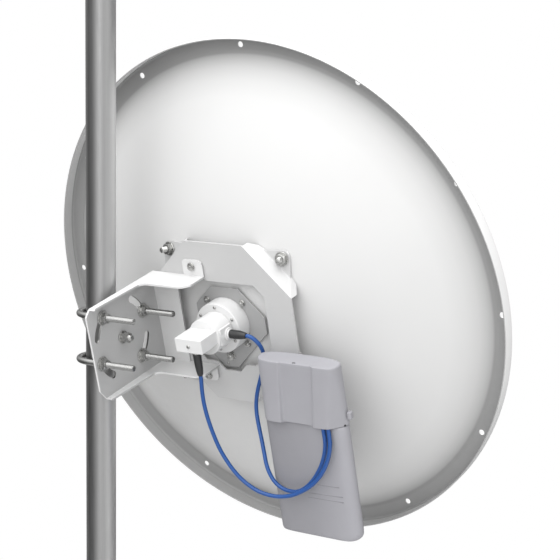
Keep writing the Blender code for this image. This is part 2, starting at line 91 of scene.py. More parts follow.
# materials
class Nodes:
    """Small helper for the nodes of a Principled material."""

    def __init__(self, mat):
        self.mat = mat
        self.tree = mat.node_tree
        self.bsdf = self.tree.nodes["Principled BSDF"]
        self.coord = self.tree.nodes.new("ShaderNodeTexCoord").outputs["Object"]

    def add(self, kind, **inputs):
        node = self.tree.nodes.new(kind)
        for key, value in inputs.items():
            socket = node.inputs[key.replace("_", " ")]
            if isinstance(value, bpy.types.NodeSocket):
                self.tree.links.new(value, socket)
            else:
                socket.default_value = value
        return node

    def link(self, out, socket):
        self.tree.links.new(out, self.bsdf.inputs[socket])

    def stretched(self, sx, sy, sz):
        return self.add("ShaderNodeMapping", Vector=self.coord, Scale=(sx, sy, sz)).outputs["Vector"]

    def noise(self, scale, detail=3.0, vector=None):
        return self.add("ShaderNodeTexNoise", Vector=vector or self.coord, Scale=scale, Detail=detail,
                        Roughness=0.55).outputs["Fac"]

    def ramp(self, fac, stops):
        """Colour ramp through stops of (place, colour)."""
        node = self.add("ShaderNodeValToRGB", Fac=fac)
        ramp = node.color_ramp
        ramp.elements[0].position, ramp.elements[1].position = stops[0][0], stops[-1][0]
        ramp.elements[0].color, ramp.elements[1].color = (*stops[0][1], 1), (*stops[-1][1], 1)
        for place, col in stops[1:-1]:
            ramp.elements.new(place).color = (*col, 1)
        return node.outputs["Color"]

    def share(self, value, low, high):
        """Where a value lies between low and high, from 0 to 1."""
        return self.add("ShaderNodeMapRange", Value=value, From_Min=low, From_Max=high).outputs["Result"]

    def vector_math(self, operation, a, b=None):
        node = self.tree.nodes.new("ShaderNodeVectorMath")
        node.operation = operation
        self.tree.links.new(a, node.inputs[0])
        if b is not None:
            node.inputs[1].default_value = b
        return node

    def times(self, a, b):
        """Product of two colours."""
        both = self.tree.nodes.new("ShaderNodeMix")
        both.data_type = "RGBA"
        both.blend_type = "MULTIPLY"
        both.inputs["Factor"].default_value = 1.0
        self.tree.links.new(a, both.inputs["A"])
        self.tree.links.new(b, both.inputs["B"])
        return both.outputs["Result"]

    def roughness(self, fac, low, high):
        self.link(self.ramp(fac, [(0.3, (low,) * 3), (0.7, (high,) * 3)]), "Roughness")

    def bump(self, height, strength, distance):
        node = self.add("ShaderNodeBump", Height=height, Strength=strength, Distance=distance)
        self.link(node.outputs["Normal"], "Normal")

    def coat(self, weight, rough):
        self.bsdf.inputs["Coat Weight"].default_value = weight
        self.bsdf.inputs["Coat Roughness"].default_value = rough


def principled(name, colour, metal, rough):
    """Nodes of a new material with its plain values set."""
    mat = bpy.data.materials.new(name)
    mat.use_nodes = True
    m = Nodes(mat)
    m.bsdf.inputs["Base Color"].default_value = (*colour, 1)
    m.bsdf.inputs["Metallic"].default_value = metal
    m.bsdf.inputs["Roughness"].default_value = rough
    return m


def shade(c, f):
    return tuple(min(1.0, x * f) for x in c)


def powder(name, colour, rough=0.42, grain=1400, dirt=0.06):
    """Powder-coated sheet: fine orange peel, faint cloudy colour, small roughness change."""
    m = principled(name, colour, 0.0, rough)
    clouds = [(0.30, shade(colour, 1 - dirt)), (0.62, colour), (0.85, shade(colour, 1 + dirt * 0.5))]
    m.link(m.ramp(m.noise(9.0, 4.0), clouds), "Base Color")
    m.roughness(m.noise(60, 2.0), rough - 0.05, rough + 0.06)
    m.bump(m.noise(grain, 2.0), 0.10, 0.0002)
    m.coat(0.15, 0.3)
    return m.mat


# brightness of the dish's back by radius: dark from the bowl's foot over the flat ring
RIM_SHADE = ((0.00, 1.0), (0.275, 1.0), (0.295, 0.94), (0.308, 0.86), (0.317, 0.74), (0.3225, 0.62),
             (0.3245, 0.45), (0.344, 0.42), (0.3455, 0.50), (0.3465, 0.62))
RAMP_R = 0.36


def dish_back(name, colour):
    """Coat of the dish's back, painted darker toward the rolled rim, as the photograph's light leaves it."""
    m = principled(name, colour, 0.0, 0.42)
    inverse = DISH.inverted()
    in_dish = m.add("ShaderNodeMapping", Vector=m.coord, Rotation=inverse.to_euler(),
                    Location=inverse.translation).outputs["Vector"]
    flat = m.vector_math("MULTIPLY", in_dish, (1, 1, 0)).outputs["Vector"]
    radius = m.vector_math("LENGTH", flat).outputs["Value"]
    rim = m.ramp(m.share(radius, 0.0, RAMP_R), [(r / RAMP_R, shade(colour, f)) for r, f in RIM_SHADE])
    cloud = m.ramp(m.noise(9.0, 4.0), [(0.30, (0.985,) * 3), (0.65, (1.0,) * 3)])
    m.link(m.times(rim, cloud), "Base Color")
    m.roughness(m.noise(60, 2.0), 0.38, 0.48)
    m.bump(m.noise(1100, 2.0), 0.10, 0.0002)
    return m.mat


def plated(name, colour, rough=0.28, along=(1, 1, 1), spread=0.18):
    """Zinc-plated steel: cloudy crystals, drawn lines along the bar and small stains."""
    m = principled(name, colour, 1.0, rough)
    lines = m.noise(900, 3.0, m.stretched(*along))
    cloud = m.noise(110, 3.0, m.stretched(*along))
    stains = [(0.30, shade(colour, 1 - spread)), (0.55, colour), (0.80, shade(colour, 1 + spread))]
    m.link(m.ramp(cloud, stains), "Base Color")
    m.roughness(lines, rough - 0.08, rough + 0.12)
    m.bump(lines, 0.08, 0.0001)
    return m.mat


def shaded_along(mat, direction, low, high, stops):
    """Multiply a material's colour by grey steps along one direction, after the photograph's light."""
    m = Nodes(mat)
    old = m.bsdf.inputs["Base Color"].links[0].from_socket
    along = m.vector_math("DOT_PRODUCT", m.coord, direction).outputs["Value"]
    greys = m.ramp(m.share(along, low, high), [(place, (f, f, f)) for place, f in stops])
    m.link(m.times(old, greys), "Base Color")
    return mat


def moulded(name, colour, rough=0.5, grain=2200, strength=0.16, coat=0.0):
    """Moulded plastic: spark-eroded grain and very faint flow clouds."""
    m = principled(name, colour, 0.0, rough)
    m.link(m.ramp(m.noise(14, 3.0), [(0.3, shade(colour, 0.96)), (0.7, shade(colour, 1.03))]), "Base Color")
    m.roughness(m.noise(90, 2.0), rough - 0.04, rough + 0.05)
    m.bump(m.noise(grain, 3.0), strength, 0.00015)
    if coat:
        m.coat(coat, 0.2)
    return m.mat


# the dish: its front and lip in a lighter copy of its coat, a painted highlight, with painted shade darker
# toward the left; and the white sheets
M_DISH = shaded_along(powder("dish_coat", (0.80, 0.80, 0.798), 0.40, 1100, 0.02), (0.5, 0, 0.8), 0.31, 0.80,
                      ((0.0, 0.46), (0.35, 0.66), (0.75, 1.0)))
M_DISH_BACK = dish_back("dish_back_coat", (0.55, 0.55, 0.548))
# the white sheets in lighter and darker greys of one coat, as painted light and shade; the web and the feed
# plate darker as painted shade
M_BRACKET = powder("bracket_coat", (0.60, 0.60, 0.60), 0.40, 1500, 0.03)
M_WEB_SHADED = powder("bracket_web_coat", (0.40, 0.40, 0.40), 0.42, 1500, 0.04)
M_PLATE = powder("plate_coat", (0.46, 0.46, 0.46), 0.42, 1500, 0.03)
M_FEED_PLATE_SHADED = powder("feed_plate_coat", (0.31, 0.31, 0.31), 0.42, 1500, 0.04)
M_FEED = moulded("feed_white", (0.60, 0.60, 0.60), 0.38, 2000, 0.06, 0.2)
# the radio box, its lower part with painted shade darker toward the left
M_RADIO = moulded("radio_grey", (0.285, 0.283, 0.305), 0.52)
M_RADIO_BODY = shaded_along(moulded("radio_body_grey", (0.280, 0.278, 0.300), 0.52), (1, 0, 0),
                            DISH_CENTRE[0] + 0.07, DISH_CENTRE[0] + 0.19,
                            ((0.05, 0.72), (0.5, 0.86), (0.8, 1.0), (1.0, 1.06)))
M_RADIO_LINE = moulded("radio_line_grey", (0.20, 0.199, 0.214), 0.55)
# near-black for the cap's dimple and holes: painted shade
M_HOLE_SHADE = moulded("radio_dark", (0.02, 0.02, 0.022), 0.6)
# steel: small parts, the clamp's rods, slot walls and saddle, the slot walls' dark a painted shade, and the
# pole, with painted shade darker on its left side
M_ZINC = plated("zinc", (0.44, 0.44, 0.43), 0.24, spread=0.08)
M_ROD = plated("rod_zinc", (0.30, 0.30, 0.295), 0.26, spread=0.05)
M_ZINC_DARK = plated("zinc_dark", (0.24, 0.24, 0.235), 0.32)
M_POLE = shaded_along(plated("pole_steel", (0.60, 0.60, 0.60), 0.42, (1, 1, 0.03), 0.06), (0.83, 0.558, 0),
                      -POLE_R, POLE_R, ((0.0, 0.60), (0.14, 0.24), (0.26, 0.22), (0.40, 0.33), (0.52, 0.47),
                                        (0.66, 0.55), (0.82, 0.78), (0.95, 1.0)))
M_FOOT = plated("foot_steel", (0.42, 0.42, 0.42), 0.44)
M_WELD = plated("weld_bead", (0.30, 0.30, 0.30), 0.5)
# connector boots and leads
M_BLACK = moulded("boot_black", (0.012, 0.012, 0.013), 0.42, 1800, 0.2)
M_BLUE = moulded("lead_blue", (0.004, 0.056, 0.23), 0.42, 2600, 0.05, 0.10)


# mesh helpers
def add(name, bm, mat, body, nodes=(), matrix=None, bevel=0.0, segments=2, sharp=38):
    """One finished piece from a bmesh: bevelled edges, smooth shading, riding on its body."""
    if matrix is not None:
        bmesh.ops.transform(bm, matrix=matrix, verts=bm.verts)
    bmesh.ops.recalc_face_normals(bm, faces=bm.faces)
    mesh = bpy.data.meshes.new(name)
    bm.to_mesh(mesh)
    bm.free()
    ob = bpy.data.objects.new(name, mesh)
    bpy.context.scene.collection.objects.link(ob)
    mesh.materials.append(mat)
    mesh.shade_smooth()
    mesh.set_sharp_from_angle(angle=math.radians(sharp))
    if bevel:
        mod = ob.modifiers.new("bevel", "BEVEL")
        mod.width = bevel
        mod.segments = segments
        mod.limit_method = "ANGLE"
        mod.angle_limit = math.radians(32)
        mod.harden_normals = True
        mod.miter_outer = "MITER_ARC"
        flat = ob.modifiers.new("flat", "WEIGHTED_NORMAL")
        flat.keep_sharp = True
        flat.weight = 100
        flatten(ob)
    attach(ob, body)
    if nodes:
        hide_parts(*nodes)
    return ob


def on_dish(name, bm, mat, nodes=(), place=Matrix(), **finish):
    """Finished piece of the dish head, from a bmesh drawn in the dish's frame or about a place in it."""
    return add(name, bm, mat, "dish_head", nodes, DISH @ place, **finish)


def flatten(ob):
    """Turn the modifiers into plain mesh."""
    deps = bpy.context.evaluated_depsgraph_get()
    mesh = bpy.data.meshes.new_from_object(ob.evaluated_get(deps))
    ob.modifiers.clear()
    old = ob.data
    ob.data = mesh
    bpy.data.meshes.remove(old)


def combine(bm, other, how):
    """Boolean of two closed bmeshes, as a new bmesh."""
    obs = []
    for part in (bm, other):
        bmesh.ops.recalc_face_normals(part, faces=part.faces)
        mesh = bpy.data.meshes.new("tool")
        part.to_mesh(mesh)
        part.free()
        ob = bpy.data.objects.new("tool", mesh)
        bpy.context.scene.collection.objects.link(ob)
        obs.append(ob)
    mod = obs[0].modifiers.new("b", "BOOLEAN")
    mod.operation = how
    mod.solver = "EXACT"
    mod.object = obs[1]
    flatten(obs[0])
    out = bmesh.new()
    out.from_mesh(obs[0].data)
    for ob in obs:
        mesh = ob.data
        bpy.data.objects.remove(ob, do_unlink=True)
        bpy.data.meshes.remove(mesh)
    return out


def join(*parts):
    """Several bmeshes as one, without a boolean."""
    out = bmesh.new()
    for part in parts:
        mesh = bpy.data.meshes.new("tmp")
        part.to_mesh(mesh)
        part.free()
        out.from_mesh(mesh)
        bpy.data.meshes.remove(mesh)
    return out


def lathe(profile, steps=96):
    bm = bmesh.new()
    rings = []
    for r, z in profile:
        if r < 1e-9:
            rings.append([bm.verts.new((0, 0, z))] * steps)
        else:
            rings.append([bm.verts.new((r * math.cos(2 * math.pi * k / steps),
                                        r * math.sin(2 * math.pi * k / steps), z)) for k in range(steps)])
    for i, ring in enumerate(rings):
        nxt = rings[(i + 1) % len(rings)]
        for k in range(steps):
            corner = []
            for v in (ring[k], ring[(k + 1) % steps], nxt[(k + 1) % steps], nxt[k]):
                if v not in corner:
                    corner.append(v)
            if len(corner) > 2:
                bm.faces.new(corner)
    return bm


def prism(points, low, high, axis="z"):
    """Extrude a closed outline; axis z: (x, y), axis x: (y, z), axis y: (x, z)."""
    def place(p, h):
        return {"z": (p[0], p[1], h), "x": (h, p[0], p[1]), "y": (p[0], h, p[1])}[axis]
    bm = bmesh.new()
    lo = [bm.verts.new(place(p, low)) for p in points]
    hi = [bm.verts.new(place(p, high)) for p in points]
    bm.faces.new(lo)
    bm.faces.new(hi)
    for i in range(len(points)):
        j = (i + 1) % len(points)
        bm.faces.new((lo[i], lo[j], hi[j], hi[i]))
    bmesh.ops.recalc_face_normals(bm, faces=bm.faces)
    return bm


def box(lo, hi):
    return prism([(lo[0], lo[1]), (hi[0], lo[1]), (hi[0], hi[1]), (lo[0], hi[1])], lo[2], hi[2])


def rounded(x0, y0, x1, y1, r, steps=8):
    pts = []
    for cx, cy, start in ((x1 - r, y1 - r, 0), (x0 + r, y1 - r, 1), (x0 + r, y0 + r, 2), (x1 - r, y0 + r, 3)):
        for k in range(steps + 1):
            a = math.pi / 2 * (start + k / steps)
            pts.append((cx + r * math.cos(a), cy + r * math.sin(a)))
    return pts


def soften(points, radii, steps=5):
    """Outline with its corners rounded; one radius for all, or one for each corner."""
    out = []
    count = len(points)
    for i, p in enumerate(points):
        r = radii if isinstance(radii, float) else radii[i]
        p = Vector(p)
        a, b = Vector(points[i - 1]) - p, Vector(points[(i + 1) % count]) - p
        if r <= 0:
            out.append(tuple(p))
            continue
        turn = math.pi - a.angle(b)
        reach = min(r * math.tan(turn / 2), a.length * 0.49, b.length * 0.49)
        pa, pb = p + a.normalized() * reach, p + b.normalized() * reach
        for k in range(steps + 1):
            t = k / steps
            out.append(tuple(pa * (1 - t) ** 2 + p * 2 * t * (1 - t) + pb * t * t))
    return out


def bridge(bm, rings, closed=False):
    """Quads between neighbouring rings of vertices. An open row of rings gets flat ends."""
    following = rings[1:] + rings[:1] if closed else rings[1:]
    for ra, rb in zip(rings, following):
        for k in range(len(ra)):
            j = (k + 1) % len(ra)
            bm.faces.new((ra[k], ra[j], rb[j], rb[k]))
    if not closed:
        bm.faces.new(rings[0])
        bm.faces.new(rings[-1])


def rod(p0, p1, r, steps=48, edge=0.0):
    """Round bar from p0 to p1, with its two edges chamfered by edge."""
    p0, p1 = Vector(p0), Vector(p1)
    length = (p1 - p0).length
    profile = [(0, 0), (r, 0), (r, length), (0, length)]
    if edge:
        profile = [(0, 0), (r - edge, 0), (r, edge), (r, length - edge), (r - edge, length), (0, length)]
    bm = lathe(profile, steps)
    turn = (p1 - p0).to_track_quat("Z", "Y").to_matrix().to_4x4()
    bmesh.ops.transform(bm, matrix=Matrix.Translation(p0) @ turn, verts=bm.verts)
    return bm


THREAD_DEPTH, PITCH_8MM = 0.0004, 0.00125


def thread(r, z0, z1, pitch):
    """Threaded bar along z with a chamfered end, as one closed tube."""
    steps, rings_per_turn = 28, 5
    bm = bmesh.new()
    count = max(4, int((z1 - z0) / pitch * rings_per_turn))
    rings = []
    for i in range(count + 1):
        z = z0 + (z1 - z0) * i / count
        fade = min(1.0, (z - z0) / pitch)
        tip = min(1.0, (z1 - z) / (pitch * 0.8))
        ring = []
        for k in range(steps):
            a = 2 * math.pi * k / steps
            wave = 0.5 - 0.5 * math.cos(2 * math.pi * (z / pitch) - a)
            radius = r - THREAD_DEPTH * wave * fade - (1 - tip) * r * 0.16
            ring.append(bm.verts.new((radius * math.cos(a), radius * math.sin(a), z)))
        rings.append(ring)
    bridge(bm, rings)
    return bm


def hexagon(across_r, z0, z1, turn, bore):
    """Hexagon nut with the chamfer that turning leaves on its corners."""
    corners = [math.pi * k / 3 + turn for k in range(6)]
    sides = prism([(across_r * math.cos(a), across_r * math.sin(a)) for a in corners], z0, z1)
    flat = across_r * math.cos(math.pi / 6)
    drop = (across_r - flat) * 0.6
    cone = lathe([(0, z0), (flat * 0.98, z0), (across_r * 1.01, z0 + drop), (across_r * 1.01, z1 - drop),
                  (flat * 0.98, z1), (0, z1)], 48)
    nut = combine(sides, cone, "INTERSECT")
    return combine(nut, rod((0, 0, z0 - 0.001), (0, 0, z1 + 0.001), bore, 32), "DIFFERENCE")


def washer(outer, inner, z0, z1):
    edge = min(0.0003, (z1 - z0) * 0.3)
    return lathe([(inner, z0), (outer - edge, z0), (outer, z0 + edge), (outer, z1 - edge), (outer - edge, z1),
                  (inner, z1)], 48)


def loft(rows):
    """Closed skin through rows of equal point counts, with flat ends."""
    bm = bmesh.new()
    bridge(bm, [[bm.verts.new(p) for p in row] for row in rows])
    bmesh.ops.recalc_face_normals(bm, faces=bm.faces)
    return bm


def subdivided(bm, levels):
    """Subdivision surface of a closed cage."""
    mesh = bpy.data.meshes.new("cage")
    bm.to_mesh(mesh)
    bm.free()
    ob = bpy.data.objects.new("cage", mesh)
    bpy.context.scene.collection.objects.link(ob)
    mod = ob.modifiers.new("subdivision", "SUBSURF")
    mod.levels = mod.render_levels = levels
    flatten(ob)
    out = bmesh.new()
    out.from_mesh(ob.data)
    bpy.data.objects.remove(ob, do_unlink=True)
    return out


# the two leads, first, because they are free cords
def smooth(knots, count):
    """Evenly spaced points on a smooth curve through the knots."""
    pts = [Vector(k) for k in knots]
    ext = [pts[0] * 2 - pts[1]] + pts + [pts[-1] * 2 - pts[-2]]
    dense = []
    for i in range(1, len(ext) - 2):
        a, b, c, d = ext[i - 1:i + 3]
        for k in range(24):
            t = k / 24
            dense.append(0.5 * ((2 * b) + (c - a) * t + (2 * a - 5 * b + 4 * c - d) * t * t
                                + (3 * b - a - 3 * c + d) * t ** 3))
    dense.append(pts[-1])
    run = [0.0]
    for p, q in zip(dense, dense[1:]):
        run.append(run[-1] + (q - p).length)
    out = []
    j = 0
    for k in range(count):
        want = run[-1] * k / (count - 1)
        while j < len(run) - 2 and run[j + 1] < want:
            j += 1
        f = (want - run[j]) / max(run[j + 1] - run[j], 1e-9)
        out.append(dense[j].lerp(dense[j + 1], min(max(f, 0), 1)))
    return out


BOTTOM_ROUTE = (
    (0.0000, -0.0439, 0.1850), (0.0000, -0.0475, 0.1850), (-0.0003, -0.0657, 0.1868),
    (0.0009, -0.0831, 0.1885), (0.0045, -0.1030, 0.1900), (0.0103, -0.1243, 0.1910),
    (0.0168, -0.1423, 0.1915), (0.0255, -0.1588, 0.1915), (0.0358, -0.1735, 0.1910),
    (0.0485, -0.1858, 0.1900), (0.0644, -0.1953, 0.1885), (0.0812, -0.1993, 0.1870),
    (0.0970, -0.1991, 0.1855), (0.1134, -0.1950, 0.1840), (0.1294, -0.1870, 0.1825),
    (0.1441, -0.1766, 0.1808), (0.1570, -0.1628, 0.1785), (0.1658, -0.1479, 0.1757),
    (0.1707, -0.1339, 0.1732), (0.1729, -0.1201, 0.1712), (0.1724, -0.1099, 0.1698),
    (0.1717, -0.1004, 0.1689))
SIDE_ROUTE = (
    (0.0517, 0.0000, 0.1455), (0.0545, 0.0000, 0.1455), (0.0590, -0.0018, 0.1450),
    (0.0637, -0.0062, 0.1438), (0.0672, -0.0123, 0.1420), (0.0680, -0.0205, 0.1390),
    (0.0655, -0.0313, 0.1350), (0.0613, -0.0426, 0.1325), (0.0564, -0.0551, 0.1315),
    (0.0522, -0.0666, 0.1322), (0.0485, -0.0777, 0.1342), (0.0458, -0.0897, 0.1368),
    (0.0449, -0.1026, 0.1398), (0.0465, -0.1150, 0.1432), (0.0505, -0.1280, 0.1478),
    (0.0559, -0.1416, 0.1535), (0.0612, -0.1550, 0.1595), (0.0660, -0.1672, 0.1650),
    (0.0721, -0.1782, 0.1692), (0.0804, -0.1884, 0.1716), (0.0915, -0.1950, 0.1726),
    (0.1037, -0.1969, 0.1730), (0.1154, -0.1949, 0.1730), (0.1268, -0.1883, 0.1728),
    (0.1377, -0.1782, 0.1722), (0.1474, -0.1657, 0.1715), (0.1558, -0.1514, 0.1708),
    (0.1617, -0.1362, 0.1700), (0.1646, -0.1223, 0.1694), (0.1647, -0.1115, 0.1690),
    (0.1642, -0.1004, 0.1688))


def lead(name, route, count):
    pts = smooth([at(*p) for p in route], count)
    curve = bpy.data.curves.new(name, "CURVE")
    curve.dimensions = "3D"
    curve.bevel_depth = LEAD_R
    curve.bevel_resolution = 6
    curve.use_fill_caps = True
    spline = curve.splines.new("POLY")
    spline.points.add(len(pts) - 1)
    for pt, co in zip(spline.points, pts):
        pt.co = (*co, 1)
    spline.use_smooth = True
    ob = bpy.data.objects.new(name + "_jacket", curve)
    bpy.context.scene.collection.objects.link(ob)
    curve.materials.append(M_BLUE)
    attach(ob, "dish_head")
    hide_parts(name)


lead("bottom_lead", BOTTOM_ROUTE, 120)
lead("side_lead", SIDE_ROUTE, 130)

# pole, foot, weld and saddle
FOOT_HALF, FOOT_T = 0.075, 0.008
ANCHOR_AT, ANCHOR_R = 0.055, 0.006
TUBE_TOP = POLE_TOP - 0.0045
pole = lathe([(0, FOOT_T + GAP), (POLE_R, FOOT_T + GAP), (POLE_R, 0.4), (POLE_R, 0.8), (POLE_R, TUBE_TOP),
              (0, TUBE_TOP)], 96)
add("pole_tube", pole, M_POLE, "mast", ("pole",))
plug = lathe([(0, TUBE_TOP + 0.0001), (POLE_R, TUBE_TOP + 0.0001), (POLE_R, POLE_TOP - 0.0015),
              (POLE_R - 0.0006, POLE_TOP - 0.0004), (POLE_R - 0.002, POLE_TOP), (0.004, POLE_TOP - 0.0001),
              (0, POLE_TOP - 0.0001)], 64)
add("pole_end_plug", plug, M_BLACK, "mast")
foot = prism(rounded(-FOOT_HALF, -FOOT_HALF, FOOT_HALF, FOOT_HALF, 0.006), 0, FOOT_T)
for x in (-ANCHOR_AT, ANCHOR_AT):
    for y in (-ANCHOR_AT, ANCHOR_AT):
        foot = combine(foot, rod((x, y, -0.01), (x, y, 0.02), ANCHOR_R), "DIFFERENCE")
add("foot_plate_steel", foot, M_FOOT, "mast", ("foot_plate",), bevel=0.0006)

# the weld between pole and foot, a ring of uneven height and width
rng = random.Random(7)
bead = bmesh.new()
rings = []
for k in range(120):
    a = 2 * math.pi * k / 120
    wobble = 0.0004 * math.sin(k * 2.1) + rng.uniform(-0.0002, 0.0002)
    section = [(POLE_R - 0.001, 0.0075), (POLE_R + 0.0055 + wobble, 0.0080),
               (POLE_R + 0.0045 + wobble, 0.0105), (POLE_R + 0.0020 + wobble, 0.0130),
               (POLE_R - 0.001, 0.0145 + wobble)]
    rings.append([bead.verts.new((r * math.cos(a), r * math.sin(a), z)) for r, z in section])
bridge(bead, rings, closed=True)
add("foot_weld", bead, M_WELD, "mast", sharp=80)

# the saddle: a round seat for the pole, its two corners cut back beside it and its edge flat
SADDLE_Y, SADDLE_Z = 0.030, 0.034
low, high = PIVOT_Z - 0.1, PIVOT_Z + 0.1
saddle = box((-0.002, -SADDLE_Y, PIVOT_Z - SADDLE_Z), (WEB_X - GAP, SADDLE_Y, PIVOT_Z + SADDLE_Z))
saddle = combine(saddle, rod((0, 0, low), (0, 0, high), POLE_R + GAP, 96), "DIFFERENCE")
for y0, y1 in ((-0.04, -0.0245), (0.0245, 0.04)):
    saddle = combine(saddle, box((-0.01, y0, low), (0.0145, y1, high)), "DIFFERENCE")
saddle = combine(saddle, box((-0.01, -0.04, low), (0.0035, 0.04, high)), "DIFFERENCE")
add("saddle_block", saddle, M_ZINC_DARK, "mast", ("pole_saddle",), bevel=0.0005)

# U-bolts with threaded legs, nuts and washers
TO_X = Matrix.Rotation(math.pi / 2, 4, "Y")
THREAD_X = 0.0335


def u_bolt(name, z, node):
    """Bar bent round the pole, and its two threaded legs through the bracket's slots."""
    centre_x = -(POLE_R + GAP + ROD_R) + LEG_Y
    path = [(0.034, -LEG_Y), (0.031, -LEG_Y), (centre_x, -LEG_Y)]
    path += [(centre_x - LEG_Y * math.sin(math.pi * k / 40), -LEG_Y * math.cos(math.pi * k / 40))
             for k in range(1, 40)]
    path += [(centre_x, LEG_Y), (0.031, LEG_Y), (0.034, LEG_Y)]
    bar = bmesh.new()
    steps, rings = 28, []
    for i, (x, y) in enumerate(path):
        ax, ay = path[max(i - 1, 0)]
        bx, by = path[min(i + 1, len(path) - 1)]
        along = Vector((bx - ax, by - ay, 0)).normalized()
        side = Vector((-along.y, along.x, 0))
        rings.append([bar.verts.new(Vector((x, y, z)) + ROD_R * (math.cos(2 * math.pi * k / steps) * side
                      + math.sin(2 * math.pi * k / steps) * Vector((0, 0, 1)))) for k in range(steps)])
    bridge(bar, rings)
    pieces = [bar]
    for sy in (-1, 1):
        leg = thread(ROD_R, THREAD_X, LEG_END_X, PITCH_8MM)
        bmesh.ops.transform(leg, verts=leg.verts, matrix=Matrix.Translation((0, sy * LEG_Y, z)) @ TO_X)
        pieces.append(leg)
    add(name, join(*pieces), M_ROD, "mast", (node,))


u_bolt("u_bolt_upper_bar", PIVOT_Z + LEG_Z, "u_bolt_upper")
u_bolt("u_bolt_lower_bar", PIVOT_Z - LEG_Z, "u_bolt_lower")

FACE_X = WEB_X + PLATE_T + GAP
BORE, WASHER_T, NUT_R = ROD_R + 0.0001, 0.0017, 0.0072


def rod_nut(node, y, z, washer_r, collar_r, nut_low, nut_high, turn):
    """Flat washer, lock washer and hexagon nut of an 8 mm rod, on the bracket's web."""
    stack = join(washer(washer_r, BORE, 0, WASHER_T), washer(collar_r, BORE, WASHER_T, nut_low),
                 hexagon(NUT_R, nut_low, nut_high, turn, BORE))
    add(node + "_zinc", stack, M_ZINC, "mast", (node,), Matrix.Translation((FACE_X, y, z)) @ TO_X)


for tag, sy, sz, turn in (("ul", -1, 1, 0.30), ("ur", 1, 1, 0.75), ("ll", -1, -1, 0.10), ("lr", 1, -1, 0.55)):
    rod_nut("clamp_nut_" + tag, sy * LEG_Y, PIVOT_Z + sz * LEG_Z, 0.0097, 0.0076, 0.0027, 0.0083, turn)
add("pivot_stud", thread(ROD_R, 0.0198, 0.0515, PITCH_8MM), M_ZINC, "mast", ("pivot_bolt",),
    Matrix.Translation((0, 0, PIVOT_Z)) @ TO_X)
rod_nut("pivot_nut", 0, PIVOT_Z, 0.0085, 0.0062, 0.0050, 0.0112, 0.2)


# dish: the bowl, a fillet from its slope into the flat ring, and the rolled lip, all seen from behind
def passage():
    """Cutter for the hole that the feed passes through."""
    return rod((0, 0, 0.09), (0, 0, 0.13), 0.0225, 64)


def repaint(ob, mat, chosen):
    """Give another material to the faces that a test picks."""
    ob.data.materials.append(mat)
    index = len(ob.data.materials) - 1
    for face in ob.data.polygons:
        if chosen(face):
            face.material_index = index


HOLES, HOLE_SHOWN_R, FIRST_HOLE = 12, 0.0038, 119.6
back = [(BOWL_R * k / 60, BOWL_DEPTH * (1 - (k / 60) ** 2)) for k in range(56)]
r0, b0 = back[-1]
steepness = -2 * BOWL_DEPTH * r0 / BOWL_R ** 2
start, knee, end = Vector((r0, b0)), Vector((r0 - b0 / steepness, 0.0)), Vector((BOWL_R + 0.006, 0.0))
for k in range(1, 13):
    t = k / 12
    p = start * (1 - t) ** 2 + knee * 2 * t * (1 - t) + end * t * t
    back.append((p.x, p.y))
LIP_R = RIM_R - SHEET
lip = [(LIP_R - 0.0040, 0.0), (LIP_R - 0.0022, 0.0002), (LIP_R - 0.0010, 0.0009), (LIP_R - 0.0003, 0.0020),
       (LIP_R, 0.0036), (LIP_R, LIP_B - 0.0004), (LIP_R + 0.0004, LIP_B), (RIM_R - 0.0004, LIP_B),
       (RIM_R, LIP_B - 0.0004)]
edge = [(RIM_R, 0.0022), (RIM_R - 0.0004, 0.0005), (RIM_R - 0.0014, -0.0008), (RIM_R - 0.0030, -0.0014),
        (RIM_R - 0.0045, -SHEET)]
# the front skin follows the back, one sheet deeper
shape = back + lip
front = []
for i in range(len(back), 0, -1):
    r, b = shape[i]
    d = (Vector(shape[i + 1]) - Vector(shape[i - 1])).normalized()
    front.append((r + d.y * SHEET, b - d.x * SHEET))
front.append((0.0, BOWL_DEPTH - SHEET))
dish = lathe(shape + edge + front, 240)
cutters = []
for k in range(HOLES):
    a = math.radians(FIRST_HOLE - 360 / HOLES * k)
    n, v = HOLE_R * math.cos(a), HOLE_R * math.sin(a)
    cutters.append(rod((n, v, -0.01), (n, v, 0.01), HOLE_SHOWN_R, 24))
dish = combine(dish, join(*cutters), "DIFFERENCE")
dish = combine(dish, passage(), "DIFFERENCE")
# the front and the lip's walls take the lighter copy of the coat: a painted highlight on the rolled lip
backwards = DISH.to_3x3() @ Vector((0, 0, 1))
repaint(on_dish("dish_sheet", dish, M_DISH_BACK, ("dish",), sharp=30), M_DISH,
        lambda face: face.normal.dot(backwards) < 0.05)

# raised plate with four bent-down corners: each folds down along the plate's cut corner and ends in a tab
PLATE_N, PLATE_V = 0.1093, 0.1105
TAB_U, TAB_END = 0.1245, 0.150
TAB_B = BOWL_DEPTH * (1 - (TAB_U / BOWL_R) ** 2) + 0.0006
SLOPE = 2 * BOWL_DEPTH * TAB_U / BOWL_R ** 2


